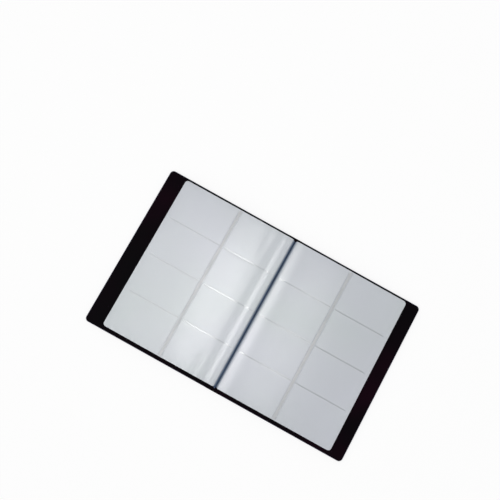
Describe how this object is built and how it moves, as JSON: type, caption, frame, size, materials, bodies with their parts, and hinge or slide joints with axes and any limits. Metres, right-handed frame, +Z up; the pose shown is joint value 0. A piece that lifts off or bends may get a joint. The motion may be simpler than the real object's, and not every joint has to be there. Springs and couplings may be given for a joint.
{
  "type": "business card album",
  "caption": "Open card album: padded leatherette covers folding on a spine, and turning leaves of clear card pockets held by a central strip.",
  "frame": {"origin": "bottom centre of the open album, on the surface its covers lie on, midway between head and tail and under the gutter", "axes": "+X across the open album to the back cover's fore edge, +Y to the head, +Z up"},
  "size_m": [0.4268, 0.257, 0.0126],
  "materials": {
    "skin": "marbled dark navy leatherette, padded and edge-welded, satin",
    "lining": "near-black maroon vinyl sheet, fine grain, satin",
    "foam": "thin closed-cell foam pad, hidden",
    "board": "grey-brown bookbinder's board, hidden",
    "strip": "dark navy grey welded vinyl strip, satin",
    "core": "white translucent polypropylene sheet, satin",
    "film": "clear soft film, glossy, heat-welded in rows"
  },
  "bodies": {
    "back_cover": {"back_skin": "skin", "back_foam": "foam", "back_board": "board", "back_lining": "lining"},
    "spine": {"spine_skin": "skin", "spine_board": "board", "spine_lining": "lining", "back_hinge_web": "skin", "front_hinge_web": "skin", "binding_strip": "strip"},
    "front_cover": {"front_skin": "skin", "front_foam": "foam", "front_board": "board", "front_lining": "lining"},
    "right_leaf_1": {"right_leaf_1_core": "core", "right_leaf_1_upper_film": "film", "right_leaf_1_lower_film": "film"},
    "right_leaf_2": {"right_leaf_2_core": "core", "right_leaf_2_upper_film": "film", "right_leaf_2_lower_film": "film"},
    "right_leaf_3": {"right_leaf_3_core": "core", "right_leaf_3_upper_film": "film", "right_leaf_3_lower_film": "film"},
    "right_leaf_4": {"right_leaf_4_core": "core", "right_leaf_4_upper_film": "film", "right_leaf_4_lower_film": "film"},
    "right_leaf_5": {"right_leaf_5_core": "core", "right_leaf_5_upper_film": "film", "right_leaf_5_lower_film": "film"},
    "right_leaf_6": {"right_leaf_6_core": "core", "right_leaf_6_upper_film": "film", "right_leaf_6_lower_film": "film"},
    "left_leaf_1": {"left_leaf_1_core": "core", "left_leaf_1_upper_film": "film", "left_leaf_1_lower_film": "film"},
    "left_leaf_2": {"left_leaf_2_core": "core", "left_leaf_2_upper_film": "film", "left_leaf_2_lower_film": "film"},
    "left_leaf_3": {"left_leaf_3_core": "core", "left_leaf_3_upper_film": "film", "left_leaf_3_lower_film": "film"},
    "left_leaf_4": {"left_leaf_4_core": "core", "left_leaf_4_upper_film": "film", "left_leaf_4_lower_film": "film"},
    "left_leaf_5": {"left_leaf_5_core": "core", "left_leaf_5_upper_film": "film", "left_leaf_5_lower_film": "film"},
    "left_leaf_6": {"left_leaf_6_core": "core", "left_leaf_6_upper_film": "film", "left_leaf_6_lower_film": "film"}
  },
  "joints": [
    {"name": "spine_fold", "type": "hinge", "parent": "back_cover", "child": "spine", "pos_m": [0.0094, 0, 0.0034], "axis": [0, 1, 0], "range_deg": [0, 90], "deforming": ["back_hinge_web"]},
    {"name": "front_cover_fold", "type": "hinge", "parent": "spine", "child": "front_cover", "pos_m": [-0.0094, 0, 0.0034], "axis": [0, 1, 0], "range_deg": [0, 90], "deforming": ["front_hinge_web"]},
    {"name": "right_leaf_1_turn", "type": "hinge", "parent": "spine", "child": "right_leaf_1", "pos_m": [0, 0, 0.0128], "axis": [0, 1, 0], "range_deg": [-90, 0]},
    {"name": "right_leaf_2_turn", "type": "hinge", "parent": "right_leaf_1", "child": "right_leaf_2", "pos_m": [0, 0, 0.0128], "axis": [0, 1, 0], "range_deg": [-180, 0]},
    {"name": "right_leaf_3_turn", "type": "hinge", "parent": "right_leaf_2", "child": "right_leaf_3", "pos_m": [0, 0, 0.0128], "axis": [0, 1, 0], "range_deg": [-180, 0]},
    {"name": "right_leaf_4_turn", "type": "hinge", "parent": "right_leaf_3", "child": "right_leaf_4", "pos_m": [0, 0, 0.0128], "axis": [0, 1, 0], "range_deg": [-180, 0]},
    {"name": "right_leaf_5_turn", "type": "hinge", "parent": "right_leaf_4", "child": "right_leaf_5", "pos_m": [0, 0, 0.0128], "axis": [0, 1, 0], "range_deg": [-180, 0]},
    {"name": "right_leaf_6_turn", "type": "hinge", "parent": "right_leaf_5", "child": "right_leaf_6", "pos_m": [0, 0, 0.0128], "axis": [0, 1, 0], "range_deg": [-180, 0]},
    {"name": "left_leaf_1_turn", "type": "hinge", "parent": "spine", "child": "left_leaf_1", "pos_m": [0, 0, 0.0128], "axis": [0, 1, 0], "range_deg": [0, 90]},
    {"name": "left_leaf_2_turn", "type": "hinge", "parent": "left_leaf_1", "child": "left_leaf_2", "pos_m": [0, 0, 0.0128], "axis": [0, -1, 0], "range_deg": [-180, 0]},
    {"name": "left_leaf_3_turn", "type": "hinge", "parent": "left_leaf_2", "child": "left_leaf_3", "pos_m": [0, 0, 0.0128], "axis": [0, -1, 0], "range_deg": [-180, 0]},
    {"name": "left_leaf_4_turn", "type": "hinge", "parent": "left_leaf_3", "child": "left_leaf_4", "pos_m": [0, 0, 0.0128], "axis": [0, -1, 0], "range_deg": [-180, 0]},
    {"name": "left_leaf_5_turn", "type": "hinge", "parent": "left_leaf_4", "child": "left_leaf_5", "pos_m": [0, 0, 0.0128], "axis": [0, -1, 0], "range_deg": [-180, 0]},
    {"name": "left_leaf_6_turn", "type": "hinge", "parent": "left_leaf_5", "child": "left_leaf_6", "pos_m": [0, 0, 0.0128], "axis": [0, -1, 0], "range_deg": [-180, 0]}
  ],
  "couplings": [
    {"joint": "right_leaf_1_turn", "follows": "spine_fold", "ratio": -1},
    {"joint": "left_leaf_1_turn", "follows": "front_cover_fold", "ratio": 1}
  ]
}
